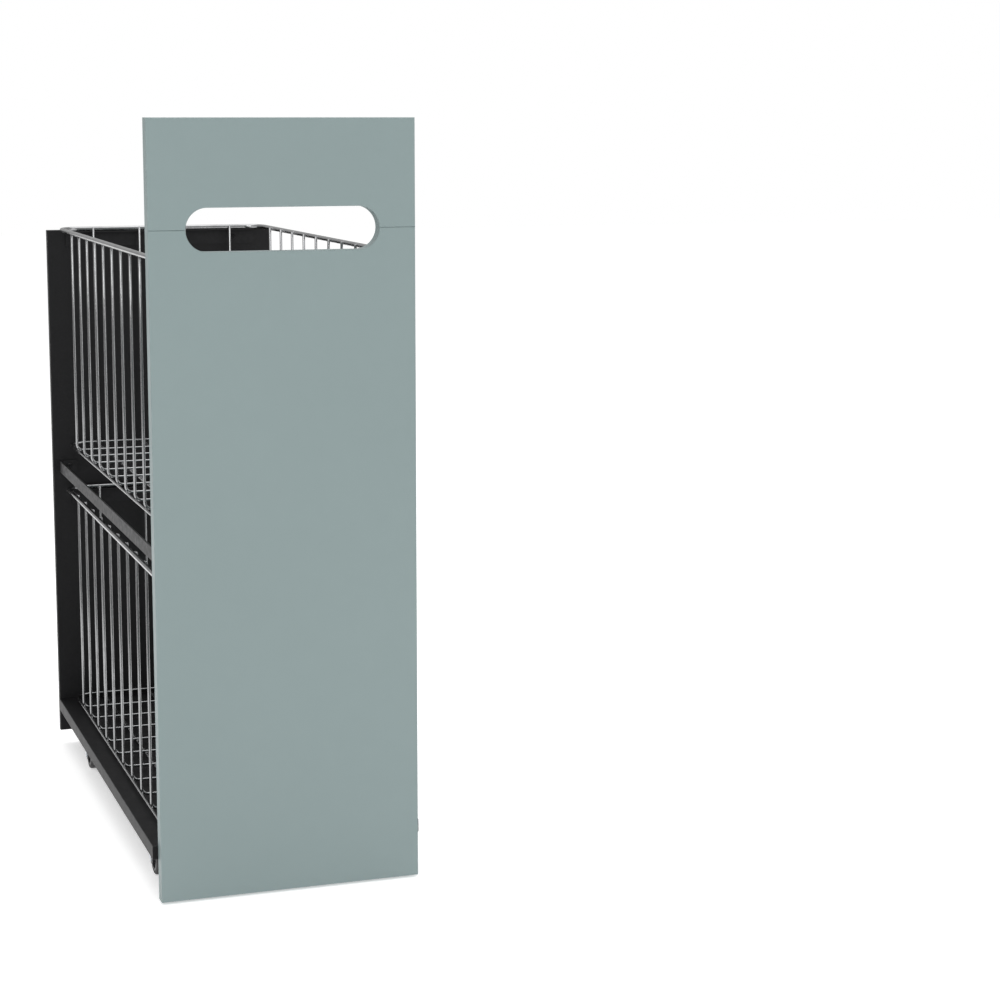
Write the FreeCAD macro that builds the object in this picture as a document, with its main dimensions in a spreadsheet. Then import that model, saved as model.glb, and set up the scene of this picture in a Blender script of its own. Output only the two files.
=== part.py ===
"""Pull-out laundry sorter on castors: a two-part front, a base, a back and two hung wire baskets.

Millimetres. +Z is up, the front faces -Y, and the origin is on the floor under the middle.
"""

import FreeCAD, Part
import os
import Sketcher

# The driving dimensions, one per cell of the sheet.
SIZES = {
    # overall
    "overall_depth": 712,
    "body_width": 310,
    "front_top": 867,
    # front boards
    "front_inset": 6,
    "front_bottom": 3,
    "front_thick": 18,
    "front_round": 1.2,
    "upper_board_tall": 119.7,
    "slot_inset": 41,
    "slot_tall": 47.5,
    # base and back boards
    "deck_thick": 16,
    "back_thick": 10,
    "back_bottom": 20,
    "back_below_rim": 1.5,
    "board_round": 0.8,
    # dowels and plates that join the two front boards
    "dowel_radius": 3.95,
    "dowel_length": 30,
    "dowel_room": 0.05,
    "dowel_end_room": 0.5,
    "joint_inset": 20.5,
    "plate_wide": 20,
    "plate_tall": 66,
    "plate_screw_rise": 22.5,
    "steel_thick": 2,
    # screws, all of one kind
    "screw_core": 1.95,
    "screw_length": 9.5,
    "screw_tip": 1.5,
    "screw_head_radius": 3.8,
    "screw_head_tall": 2.4,
    "screw_dome": 1.2,
    "screw_dome_radius": 2.6,
    "recess_long": 3.4,
    "recess_wide": 0.9,
    "recess_deep": 1.4,
    "pilot_radius": 2,
    "pilot_depth": 9.9,
    "steel_hole": 2.3,
    # angle brackets under the base
    "bracket_leg": 20,
    "bracket_wide": 20,
    "bracket_place": 60,
    "bracket_screw_in": 12,
    # side ties between the two baskets
    "tie_above_rim": 22.1,
    "tie_tall": 15,
    "tie_inset": 8,
    "tie_tab": 24,
    "tie_screw_in": 14,
    # cross rails that carry the baskets
    "rail_inset": 9,
    "rail_drop": 20,
    "rail_thick": 1.5,
    "rail_screw_drop": 11,
    "rail_screw_in": 30,
    "slide_room": 0.3,
    # wire baskets
    "rim_below_seam": 30.8,
    "basket_side_room": 16,
    "basket_floor_room": 2.3,
    "basket_apart": 58.7,
    "rim_radius": 3,
    "rim_corner": 25,
    "rim_room": 3,
    "wire_radius": 1.7,
    "wire_bend": 8,
    "wire_end_rise": 1.5,
    "weld_room": 0.05,
    "cross_wire_count": 10,
    "cross_wire_lead": 47,
    "cross_wire_tail": 75.1,
    "long_wire_count": 4,
    "long_wire_inset": 44.95,
    "ring_corner": 20,
    # swivel castors
    "castor_side_inset": 27,
    "castor_end_inset": 126,
    "castor_trail": 15,
    "castor_plate": 42,
    "castor_plate_corner": 5,
    "castor_hole_pitch": 32,
    "kingpin_radius": 4,
    "kingpin_head_radius": 7,
    "kingpin_head_tall": 1.5,
    "pin_room": 0.05,
    "race_radius": 12,
    "race_tall": 0.8,
    "crown_radius": 15,
    "crown_tall": 2.5,
    "leg_thick": 2.2,
    "leg_top_half": 13,
    "leg_foot_half": 7.5,
    "wheel_radius": 20,
    "wheel_top_room": 0.6,
    "wheel_width": 18,
    "wheel_side_room": 0.5,
    "tyre_round": 2.5,
    "tyre_thick": 4.5,
    "hub_radius": 6,
    "hub_side_room": 0.3,
    "web_half": 3,
    "hub_rim_thick": 2.5,
    "axle_radius": 2.5,
    "axle_head_radius": 4.5,
    "axle_head_tall": 1.3,
}

# Places that several pieces share, worked out from the sheet.
BODY_HALF = "(Sizes.body_width / 2)"
FRONT_HALF = f"({BODY_HALF} - Sizes.front_inset)"
FRONT_REAR = "(-Sizes.overall_depth / 2 + Sizes.front_thick)"
BACK_REAR = "(Sizes.overall_depth / 2)"
BACK_INNER = "(Sizes.overall_depth / 2 - Sizes.back_thick)"
KINGPIN_HEAD_UNDER = "(2 * Sizes.wheel_radius + Sizes.wheel_top_room)"
KINGPIN_HEAD_TOP = f"({KINGPIN_HEAD_UNDER} + Sizes.kingpin_head_tall)"
CROWN_UNDER = f"({KINGPIN_HEAD_TOP} + Sizes.slide_room)"
CROWN_TOP = f"({CROWN_UNDER} + Sizes.crown_tall)"
RACE_UNDER = f"({CROWN_TOP} + Sizes.slide_room)"
PLATE_UNDER = f"({RACE_UNDER} + Sizes.race_tall)"
DECK_UNDER = f"({PLATE_UNDER} + Sizes.steel_thick)"
SEAM = "(Sizes.front_top - Sizes.upper_board_tall)"
UPPER_RIM = f"({SEAM} - Sizes.rim_below_seam)"
LOWER_FLOOR = f"({DECK_UNDER} + Sizes.deck_thick + Sizes.basket_floor_room + Sizes.wire_radius)"
BASKET_DROP = f"(({UPPER_RIM} - {LOWER_FLOOR} - Sizes.basket_apart) / 2)"
RIM_LEVELS = {"upper": UPPER_RIM, "lower": f"({LOWER_FLOOR} + {BASKET_DROP})"}
TIE_UNDER = f"({RIM_LEVELS['lower']} + Sizes.tie_above_rim)"
TIE_FACE = f"({BODY_HALF} - Sizes.tie_inset)"
JOINT_ACROSS = f"({FRONT_HALF} - Sizes.joint_inset)"
RIM_HALF = f"({BODY_HALF} - Sizes.basket_side_room)"
RAIL_HALF = f"({RIM_HALF} - Sizes.rail_inset)"
RIM_FRONT = f"({FRONT_REAR} + Sizes.rim_room + Sizes.rim_radius)"
RIM_REAR = f"({BACK_INNER} - Sizes.rim_room - Sizes.rim_radius)"
WIRE_INSET = "(Sizes.rim_radius + Sizes.wire_radius + Sizes.weld_room)"
CROSS_FIRST = f"({RIM_FRONT} + Sizes.cross_wire_lead)"
CROSS_ROW = f"({RIM_REAR} - Sizes.cross_wire_tail - {CROSS_FIRST})"
RING_REACH = "(Sizes.wire_bend + 2 * Sizes.wire_radius + Sizes.weld_room)"
FLANGE = "(Sizes.rim_room + 2 * Sizes.rim_radius + Sizes.weld_room - Sizes.slide_room)"
RIM_SEAT = "(Sizes.wheel_radius - Sizes.tyre_thick)"
FORK_GAP_HALF = "(Sizes.wheel_width / 2 + Sizes.wheel_side_room)"
FORK_HALF = f"({FORK_GAP_HALF} + Sizes.leg_thick)"
TYRE_HALF = "(Sizes.wheel_width / 2)"

X_AXIS = FreeCAD.Vector(1, 0, 0)
Z_AXIS = FreeCAD.Vector(0, 0, 1)

# The way a fastener points: up into the base, to the front board, or to the back board.
TURNS = {"up": 0, "front": 90, "back": -90}
LEFT_RIGHT = {"left": "-1", "right": "1"}
FRONT_BACK = {"front": "-1", "rear": "1"}

doc = FreeCAD.newDocument("laundry_sorter")
sheet = doc.addObject("Spreadsheet::Sheet", "Sizes")
pieces = []


def fill_sheet():
    """One row per driving dimension: its name in column A and its value, with an alias, in column B."""
    for row, (alias, number) in enumerate(SIZES.items(), start=1):
        sheet.set(f"A{row}", alias.replace("_", " "))
        sheet.set(f"B{row}", str(number))
        sheet.setAlias(f"B{row}", alias)
    doc.recompute()


def value(expression):
    """The number that an expression gives now, used to start a sketch near its solution."""
    return float(sheet.evalExpression(expression))


def bind(thing, **expressions):
    """Ties properties of a document object to expressions on the sheet."""
    for name, expression in expressions.items():
        thing.setExpression(name, expression)


def put(thing, x="0", y="0", z="0", way="up"):
    """Places a document object by expressions, turned the way it points."""
    turn = FreeCAD.Rotation(X_AXIS, TURNS[way])
    thing.Placement = FreeCAD.Placement(FreeCAD.Vector(), turn)
    for axis, expression in zip("xyz", (x, y, z)):
        thing.setExpression(f"Placement.Base.{axis}", expression)


def keep(thing, label):
    """Names a finished sub-part and lists it for writing."""
    thing.Label = label
    pieces.append(thing)
    return thing


# ---- sketches and features -------------------------------------------------------------------


def new_body(name):
    return doc.addObject("PartDesign::Body", name)


def origin_part(body, role):
    return next(part for part in body.Origin.OriginFeatures if part.Role == role)


def new_sketch(body, name, plane, lift="0"):
    """A sketch on one of the body's own origin planes, lifted along the plane's normal."""
    sketch = body.newObject("Sketcher::SketchObject", name)
    sketch.AttachmentSupport = [(origin_part(body, plane), "")]
    sketch.MapMode = "FlatFace"
    sketch.setExpression("AttachmentOffset.Base.z", lift)
    return sketch


def constrain(sketch, kind, *where, size=None):
    """Adds a constraint. A size is an expression that drives it."""
    if size is None:
        sketch.addConstraint(Sketcher.Constraint(kind, *where))
        return
    index = sketch.addConstraint(Sketcher.Constraint(kind, *where, value(size)))
    sketch.setExpression(f"Constraints[{index}]", size)


def pin_point(sketch, line, end, x=None, y=None):
    """Holds a point of the sketch at a distance from the sketch's origin, along one axis or both."""
    if x is not None:
        constrain(sketch, "DistanceX", -1, 1, line, end, size=x)
    if y is not None:
        constrain(sketch, "DistanceY", -1, 1, line, end, size=y)


def add_polygon(sketch, corners):
    """A closed outline of straight lines, each corner held at its own place."""
    places = [FreeCAD.Vector(value(x), value(y), 0) for x, y in corners]
    first = sketch.GeometryCount
    for start, end in zip(places, places[1:] + places[:1]):
        sketch.addGeometry(Part.LineSegment(start, end), False)
    for number, (x, y) in enumerate(corners):
        before = first + (number - 1) % len(corners)
        constrain(sketch, "Coincident", before, 2, first + number, 1)
        pin_point(sketch, first + number, 1, x, y)


def add_rectangle(sketch, low, high):
    add_polygon(sketch, [low, (high[0], low[1]), high, (low[0], high[1])])


def add_circle(sketch, centre, radius):
    place = FreeCAD.Vector(value(centre[0]), value(centre[1]), 0)
    index = sketch.addGeometry(Part.Circle(place, Z_AXIS, value(radius)), False)
    constrain(sketch, "Radius", index, size=radius)
    pin_point(sketch, index, 3, *centre)


def corner_arc(before, corner, after, radius):
    """The quarter arc that rounds a square corner between two runs."""
    into = (corner - before).normalize()
    out = (after - corner).normalize()
    start = corner - into * radius
    end = corner + out * radius
    centre = start + out * radius
    middle = centre + (corner - centre).normalize() * radius
    return Part.ArcOfCircle(start, middle, end), start, end


def add_run(sketch, corners, radius, closed=False):
    """Square runs with rounded turns. The first corner, and an open run's last, stay plain ends."""
    stops = corners + corners[:1] if closed else corners
    places = [FreeCAD.Vector(value(x), value(y), 0) for x, y in stops]
    trims = [(places[0], places[0])]
    arcs = []
    for before, corner, after in zip(places, places[1:], places[2:]):
        arc, start, end = corner_arc(before, corner, after, value(radius))
        arcs.append(arc)
        trims.append((start, end))
    trims.append((places[-1], places[-1]))
    lines = []
    for number in range(len(places) - 1):
        line = Part.LineSegment(trims[number][1], trims[number + 1][0])
        lines.append(sketch.addGeometry(line, False))
        x, y = stops[number + 1]
        upright = abs(places[number].x - places[number + 1].x) < abs(places[number].y - places[number + 1].y)
        constrain(sketch, "Vertical" if upright else "Horizontal", lines[-1])
        if closed and number == len(places) - 2:
            constrain(sketch, "Coincident", lines[-1], 2, lines[0], 1)
        elif upright:
            pin_point(sketch, lines[-1], 1, x=x)
        else:
            pin_point(sketch, lines[-1], 1, y=y)
    pin_point(sketch, lines[0], 1, y=stops[0][1])
    if not closed:
        pin_point(sketch, lines[-1], 2, y=stops[-1][1])
    for number, arc in enumerate(arcs):
        turn = sketch.addGeometry(arc, False)
        swapped = sketch.Geometry[turn].StartPoint.distanceToPoint(trims[number + 1][0]) > value(radius) / 2
        constrain(sketch, "Tangent", lines[number], 2, turn, 2 if swapped else 1)
        constrain(sketch, "Tangent", lines[number + 1], 1, turn, 1 if swapped else 2)
        constrain(sketch, "Radius", turn, size=radius)


def add_stadium(sketch, level, half_long, half_tall):
    """A slot with full round ends, its middle on the sketch's upright axis at a level."""
    long_half, tall_half, middle = value(half_long), value(half_tall), value(level)
    run = long_half - tall_half
    up = FreeCAD.Vector(0, tall_half, 0)
    ends = [FreeCAD.Vector(side * run, middle, 0) for side in (-1, 1)]
    bottom = sketch.addGeometry(Part.LineSegment(ends[0] - up, ends[1] - up), False)
    top = sketch.addGeometry(Part.LineSegment(ends[1] + up, ends[0] + up), False)
    reach = FreeCAD.Vector(tall_half, 0, 0)
    right_arc = Part.ArcOfCircle(ends[1] - up, ends[1] + reach, ends[1] + up)
    left_arc = Part.ArcOfCircle(ends[0] + up, ends[0] - reach, ends[0] - up)
    right = sketch.addGeometry(right_arc, False)
    left = sketch.addGeometry(left_arc, False)
    constrain(sketch, "Tangent", bottom, 2, right, 1)
    constrain(sketch, "Tangent", right, 2, top, 1)
    constrain(sketch, "Tangent", top, 2, left, 1)
    constrain(sketch, "Tangent", left, 2, bottom, 1)
    constrain(sketch, "Horizontal", bottom)
    constrain(sketch, "Radius", right, size=half_tall)
    pin_point(sketch, right, 3, f"{half_long} - {half_tall}", level)
    pin_point(sketch, left, 3, f"{half_tall} - {half_long}", level)


def pad(body, sketch, length, both_ways=False):
    feature = body.newObject("PartDesign::Pad", sketch.Name + "_pad")
    feature.Profile = sketch
    feature.SideType = "Symmetric" if both_ways else "One side"
    bind(feature, Length=length)
    return feature


def pocket(body, sketch, length, both_ways=False, flip=False):
    """Cuts the sketch out of the body, and fails if that takes nothing away."""
    doc.recompute()
    whole = body.Shape.Volume
    feature = body.newObject("PartDesign::Pocket", sketch.Name + "_pocket")
    feature.Profile = sketch
    feature.SideType = "Symmetric" if both_ways else "One side"
    feature.Reversed = flip
    bind(feature, Length=length)
    doc.recompute()
    if body.Shape.Volume > whole - 1e-3:
        raise RuntimeError(f"{feature.Name} cuts nothing")
    return feature


def revolve(body, sketch, axis):
    feature = body.newObject("PartDesign::Revolution", sketch.Name + "_turned")
    feature.Profile = sketch
    feature.ReferenceAxis = (sketch, [axis])
    feature.Angle = 360
    return feature


def round_edges(body, feature, radius, flat_axis):
    """Rounds the outlines of the two large faces: the edges that stay level along one axis."""
    doc.recompute()
    names = []
    for number, edge in enumerate(feature.Shape.Edges, start=1):
        if getattr(edge.BoundBox, flat_axis + "Length") < 1e-6:
            names.append(f"Edge{number}")
    fillet = body.newObject("PartDesign::Fillet", feature.Name + "_rounded")
    fillet.Base = (feature, names)
    bind(fillet, Radius=radius)
    return fillet


def pattern(body, feature, axis, length, count):
    """Repeats a feature along an origin axis of its body."""
    row = body.newObject("PartDesign::LinearPattern", feature.Name + "_row")
    row.Originals = [feature]
    row.Direction = (origin_part(body, axis), [""])
    bind(row, Length=length, Occurrences=count)
    body.Tip = row
    return row


def wire_pipe(body, name, path, centre, radius, profile_plane, lift):
    """A round wire swept along a sketched path from its first point."""
    profile = new_sketch(body, name + "_section", profile_plane, lift)
    add_circle(profile, centre, radius)
    doc.recompute()
    pipe = body.newObject("PartDesign::AdditivePipe", name)
    pipe.Profile = profile
    pipe.Spine = (path, [f"Edge{number + 1}" for number in range(len(path.Shape.Edges))])
    return pipe


def drill(blank, name, places, radius, depth):
    """The blank with a round hole at each place, each starting at the place and going its way."""
    bits = []
    for number, place in enumerate(places, start=1):
        bit = doc.addObject("Part::Cylinder", f"{name}_bit{number}")
        bind(bit, Radius=radius, Height=depth)
        put(bit, *place)
        bits.append(bit)
    holes = doc.addObject("Part::Compound", name + "_holes")
    holes.Links = bits
    drilled = doc.addObject("Part::Cut", name)
    drilled.Base = blank
    drilled.Tool = holes
    return drilled


def copies(master, label, places):
    """One sub-part made of a copy of the master at each place."""
    links = []
    for number, place in enumerate(places, start=1):
        link = doc.addObject("App::Link", f"{label}_copy{number}")
        link.LinkedObject = master
        put(link, *place)
        links.append(link)
    group = doc.addObject("Part::Compound", label + "_group")
    group.Links = links
    return keep(group, label)


# ---- where the fasteners go ------------------------------------------------------------------


def joint_places(board):
    """The screws through the two joining plates into one of the front boards, from behind."""
    seat = f"{FRONT_REAR} + Sizes.steel_thick"
    level = {
        "lower": f"{SEAM} - Sizes.plate_screw_rise",
        "upper": f"{SEAM} + Sizes.plate_screw_rise",
    }[board]
    return [(f"{side} * {JOINT_ACROSS}", seat, level, "front") for side in LEFT_RIGHT.values()]


def rail_top(basket):
    return f"({RIM_LEVELS[basket]} - Sizes.rim_radius - Sizes.slide_room)"


def rail_places(basket, end):
    """The screws of one cross rail, seated on its upright leg."""
    seats = {
        "front": f"{FRONT_REAR} + Sizes.rail_thick",
        "rear": f"{BACK_INNER} - Sizes.rail_thick",
    }
    way = "front" if end == "front" else "back"
    level = f"{rail_top(basket)} - Sizes.rail_screw_drop"
    step = f"({RAIL_HALF} - Sizes.rail_screw_in)"
    return [(f"{number} * {step}", seats[end], level, way) for number in (-1, 0, 1)]


def tie_places(end):
    """The screws through the tabs of both ties at one end."""
    seats = {
        "front": f"{FRONT_REAR} + Sizes.steel_thick",
        "rear": f"{BACK_INNER} - Sizes.steel_thick",
    }
    way = "front" if end == "front" else "back"
    across = f"({TIE_FACE} - Sizes.tie_screw_in)"
    level = f"{TIE_UNDER} + Sizes.tie_tall / 2"
    return [(f"{side} * {across}", seats[end], level, way) for side in LEFT_RIGHT.values()]


def bracket_deck_places(end):
    """The screws that go up through the brackets into the base."""
    faces = {"front": f"{FRONT_REAR} + Sizes.bracket_screw_in", "rear": f"{BACK_INNER} - Sizes.bracket_screw_in"}
    return [(f"{side} * Sizes.bracket_place", faces[end], PLATE_UNDER, "up") for side in LEFT_RIGHT.values()]


def bracket_board_places(end):
    """The screws that go through the brackets into the front or back board."""
    seats = {
        "front": f"{FRONT_REAR} + Sizes.steel_thick",
        "rear": f"{BACK_INNER} - Sizes.steel_thick",
    }
    way = "front" if end == "front" else "back"
    level = f"{DECK_UNDER} - Sizes.bracket_screw_in"
    return [(f"{side} * Sizes.bracket_place", seats[end], level, way) for side in LEFT_RIGHT.values()]


def castor_axes():
    """The upright swivel axis of each castor, by name."""
    from_middle = f"({BODY_HALF} - Sizes.castor_side_inset)"
    from_centre = "(Sizes.overall_depth / 2 - Sizes.castor_end_inset)"
    return {
        f"{end}_{side}": (f"{across} * {from_middle}", f"{along} * {from_centre}")
        for end, along in FRONT_BACK.items()
        for side, across in LEFT_RIGHT.items()
    }


def castor_screw_places():
    """Four screws up through each castor plate."""
    half = "Sizes.castor_hole_pitch / 2"
    return [
        (f"{x} + {across} * {half}", f"{y} + {along} * {half}", PLATE_UNDER, "up")
        for x, y in castor_axes().values()
        for across in LEFT_RIGHT.values()
        for along in FRONT_BACK.values()
    ]


# ---- boards ----------------------------------------------------------------------------------


def upright_board(name, half_wide, bottom, top, face, thick, radius, slot=False):
    """A board that stands across the trolley, from its inner or rear face towards -Y."""
    body = new_body(name)
    outline = new_sketch(body, name + "_outline", "XZ_Plane", f"-({face})")
    add_rectangle(outline, (f"-{half_wide}", bottom), (half_wide, top))
    solid = pad(body, outline, thick)
    if slot:
        opening = new_sketch(body, name + "_slot", "XZ_Plane", f"-({face})")
        add_stadium(opening, SEAM, f"({FRONT_HALF} - Sizes.slot_inset)", "Sizes.slot_tall / 2")
        solid = pocket(body, opening, thick, flip=True)
    round_edges(body, solid, radius, "Y")
    return body


def build_front():
    """Two boards that meet at the seam, each with half of the handle slot."""
    boards = {
        "lower": ("Sizes.front_bottom", SEAM),
        "upper": (SEAM, "Sizes.front_top"),
    }
    dowel_foot = f"{SEAM} - Sizes.dowel_length / 2 - Sizes.dowel_end_room"
    dowel_holes = [(f"{side} * {JOINT_ACROSS}", f"{FRONT_REAR} - Sizes.front_thick / 2", dowel_foot)
                   for side in LEFT_RIGHT.values()]
    carried = rail_places("upper", "front") + rail_places("lower", "front")
    held = tie_places("front") + bracket_board_places("front")
    screws = {
        "lower": joint_places("lower") + carried + held,
        "upper": joint_places("upper"),
    }
    for which, (bottom, top) in boards.items():
        name = f"front_{which}"
        blank = upright_board(name, FRONT_HALF, bottom, top, FRONT_REAR, "Sizes.front_thick",
                              "Sizes.front_round", slot=True)
        bored = drill(blank, name + "_dowelled", dowel_holes, "Sizes.dowel_radius + Sizes.dowel_room",
                      "Sizes.dowel_length + 2 * Sizes.dowel_end_room")
        board = drill(bored, name + "_drilled", screws[which], "Sizes.pilot_radius", "Sizes.pilot_depth")
        keep(board, f"front_{which}_board")


def build_base():
    """The board that everything stands on, from the front boards to the back."""
    body = new_body("base")
    outline = new_sketch(body, "base_outline", "XY_Plane", DECK_UNDER)
    add_rectangle(outline, (f"-{BODY_HALF}", FRONT_REAR), (BODY_HALF, BACK_INNER))
    solid = pad(body, outline, "Sizes.deck_thick")
    round_edges(body, solid, "Sizes.board_round", "Z")
    places = castor_screw_places() + bracket_deck_places("front") + bracket_deck_places("rear")
    keep(drill(body, "base_drilled", places, "Sizes.pilot_radius", "Sizes.pilot_depth"), "base_board")


def build_back():
    blank = upright_board("back", BODY_HALF, "Sizes.back_bottom", f"{UPPER_RIM} - Sizes.back_below_rim",
                          BACK_REAR, "Sizes.back_thick", "Sizes.board_round")
    places = (rail_places("upper", "rear") + rail_places("lower", "rear")
              + tie_places("rear") + bracket_board_places("rear"))
    keep(drill(blank, "back_drilled", places, "Sizes.pilot_radius", "Sizes.pilot_depth"), "back_panel")


# ---- joints between the boards ---------------------------------------------------------------


def build_dowels():
    dowel = doc.addObject("Part::Cylinder", "dowel")
    bind(dowel, Radius="Sizes.dowel_radius", Height="Sizes.dowel_length")
    foot = f"{SEAM} - Sizes.dowel_length / 2"
    middle = f"{FRONT_REAR} - Sizes.front_thick / 2"
    copies(dowel, "front_dowels", [(f"{side} * {JOINT_ACROSS}", middle, foot)
                                   for side in LEFT_RIGHT.values()])


def build_joining_plates():
    plates = []
    for side, sign in LEFT_RIGHT.items():
        plate = doc.addObject("Part::Box", f"joining_plate_{side}")
        bind(plate, Length="Sizes.plate_wide", Width="Sizes.steel_thick", Height="Sizes.plate_tall")
        put(plate, f"{sign} * {JOINT_ACROSS} - Sizes.plate_wide / 2", FRONT_REAR,
            f"{SEAM} - Sizes.plate_tall / 2")
        plates.append(plate)
    pair = doc.addObject("Part::Compound", "joining_plate_pair")
    pair.Links = plates
    places = joint_places("lower") + joint_places("upper")
    keep(drill(pair, "joining_plates_drilled", places, "Sizes.steel_hole", "Sizes.pilot_depth"),
         "joining_plates")


def build_brackets(end):
    """Two steel angles under the base that hold it to the board at one end."""
    board = {"front": FRONT_REAR, "rear": BACK_INNER}[end]
    inward = {"front": "+", "rear": "-"}[end]
    thick, leg = "Sizes.steel_thick", "Sizes.bracket_leg"
    corners = [
        (board, DECK_UNDER),
        (f"{board} {inward} {leg}", DECK_UNDER),
        (f"{board} {inward} {leg}", f"{DECK_UNDER} - {thick}"),
        (f"{board} {inward} {thick}", f"{DECK_UNDER} - {thick}"),
        (f"{board} {inward} {thick}", f"{DECK_UNDER} - {leg}"),
        (board, f"{DECK_UNDER} - {leg}"),
    ]
    angles = []
    for side, across in LEFT_RIGHT.items():
        body = new_body(f"{end}_bracket_{side}")
        outline = new_sketch(body, f"{end}_bracket_{side}_outline", "YZ_Plane", f"{across} * Sizes.bracket_place")
        add_polygon(outline, corners)
        pad(body, outline, "Sizes.bracket_wide", both_ways=True)
        angles.append(body)
    pair = doc.addObject("Part::Compound", f"{end}_bracket_pair")
    pair.Links = angles
    places = bracket_deck_places(end) + bracket_board_places(end)
    keep(drill(pair, f"{end}_brackets_drilled", places, "Sizes.steel_hole", "Sizes.pilot_depth"),
         f"{end}_base_brackets")


def build_tie(side):
    """A flat bar along one side, with a tab at each end that is screwed to a board."""
    sign = LEFT_RIGHT[side]
    thick = "Sizes.steel_thick"
    outer = f"{sign} * {TIE_FACE}"
    inner = f"{sign} * ({TIE_FACE} - {thick})"
    tab = f"{sign} * ({TIE_FACE} - Sizes.tie_tab)"
    corners = [
        (outer, FRONT_REAR),
        (tab, FRONT_REAR),
        (tab, f"{FRONT_REAR} + {thick}"),
        (inner, f"{FRONT_REAR} + {thick}"),
        (inner, f"{BACK_INNER} - {thick}"),
        (tab, f"{BACK_INNER} - {thick}"),
        (tab, BACK_INNER),
        (outer, BACK_INNER),
    ]
    body = new_body(f"{side}_tie")
    outline = new_sketch(body, f"{side}_tie_outline", "XY_Plane", TIE_UNDER)
    add_polygon(outline, corners)
    pad(body, outline, "Sizes.tie_tall")
    places = [place for end in FRONT_BACK for place in tie_places(end) if place[0].startswith(f"{sign} *")]
    keep(drill(body, f"{side}_tie_drilled", places, "Sizes.steel_hole", "Sizes.pilot_depth"), f"{side}_tie_rail")


def build_rail(basket, end):
    """An angle across one end whose flange carries the basket's rim."""
    board = {"front": FRONT_REAR, "rear": BACK_INNER}[end]
    inward = {"front": "+", "rear": "-"}[end]
    top = rail_top(basket)
    thick = "Sizes.rail_thick"
    corners = [
        (board, top),
        (f"{board} {inward} {FLANGE}", top),
        (f"{board} {inward} {FLANGE}", f"{top} - {thick}"),
        (f"{board} {inward} {thick}", f"{top} - {thick}"),
        (f"{board} {inward} {thick}", f"{top} - Sizes.rail_drop"),
        (board, f"{top} - Sizes.rail_drop"),
    ]
    name = f"{basket}_{end}_rail"
    body = new_body(name + "_angle")
    outline = new_sketch(body, name + "_outline", "YZ_Plane")
    add_polygon(outline, corners)
    pad(body, outline, f"2 * {RAIL_HALF}", both_ways=True)
    places = rail_places(basket, end)
    keep(drill(body, name + "_drilled", places, "Sizes.steel_hole", "Sizes.pilot_depth"), name)


# ---- screws ----------------------------------------------------------------------------------


def screw_master():
    """A domed screw with a cross recess. Its seat is at the origin and its tip points up."""
    body = new_body("screw")
    outline = new_sketch(body, "screw_outline", "XZ_Plane")
    add_polygon(outline, [
        ("0", "-Sizes.screw_head_tall"),
        ("Sizes.screw_dome_radius", "-Sizes.screw_head_tall"),
        ("Sizes.screw_head_radius", "-Sizes.screw_dome"),
        ("Sizes.screw_head_radius", "0"),
        ("Sizes.screw_core", "0"),
        ("Sizes.screw_core", "Sizes.screw_length - Sizes.screw_tip"),
        ("0", "Sizes.screw_length"),
    ])
    revolve(body, outline, "V_Axis")
    recess = new_sketch(body, "screw_recess", "XY_Plane", "-Sizes.screw_head_tall")
    half_long, half_wide = "Sizes.recess_long / 2", "Sizes.recess_wide / 2"
    add_rectangle(recess, (f"-{half_long}", f"-{half_wide}"), (half_long, half_wide))
    slot = pocket(body, recess, "Sizes.recess_deep", flip=True)
    cross = body.newObject("PartDesign::PolarPattern", "screw_cross")
    cross.Originals = [slot]
    cross.Axis = (origin_part(body, "Z_Axis"), [""])
    cross.Angle = 180
    cross.Occurrences = 2
    cross.Mode = "Spacing"
    cross.Offset = 90
    body.Tip = cross
    return body


def build_screws():
    screw = screw_master()
    copies(screw, "joining_plate_screws", joint_places("lower") + joint_places("upper"))
    rails = [place for basket in ("upper", "lower") for end in FRONT_BACK for place in rail_places(basket, end)]
    copies(screw, "rail_screws", rails)
    copies(screw, "tie_rail_screws", tie_places("front") + tie_places("rear"))
    brackets = [place for end in FRONT_BACK for place in bracket_deck_places(end) + bracket_board_places(end)]
    copies(screw, "base_bracket_screws", brackets)
    copies(screw, "castor_screws", castor_screw_places())


# ---- wire baskets ----------------------------------------------------------------------------


def build_basket(which):
    """A rim, wires across the floor and up both sides, wires along it, and a ring round the bottom."""
    level = RIM_LEVELS[which]
    build_rim(f"{which}_basket_rim", level)
    long_floor = f"({level} - {BASKET_DROP})"
    cross_floor = f"({long_floor} + 2 * Sizes.wire_radius + Sizes.weld_room)"
    wire_top = f"({level} + Sizes.wire_end_rise)"
    build_cross_wires(f"{which}_basket_cross_wires", cross_floor, wire_top)
    build_long_wires(f"{which}_basket_long_wires", long_floor, wire_top)
    build_bottom_ring(f"{which}_basket_bottom_ring", cross_floor, long_floor)


def build_loop(name, level, half_wide, front, rear, corner, radius):
    """A closed level loop of round wire."""
    body = new_body(name)
    path = new_sketch(body, name + "_path", "XY_Plane", level)
    corners = [
        (half_wide, "0"),
        (half_wide, rear),
        (f"-{half_wide}", rear),
        (f"-{half_wide}", front),
        (half_wide, front),
    ]
    add_run(path, corners, corner, closed=True)
    wire_pipe(body, name + "_wire", path, (half_wide, level), radius, "XZ_Plane", "0")
    keep(body, name)


def build_rim(name, level):
    build_loop(name, level, RIM_HALF, RIM_FRONT, RIM_REAR, "Sizes.rim_corner", "Sizes.rim_radius")


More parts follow.
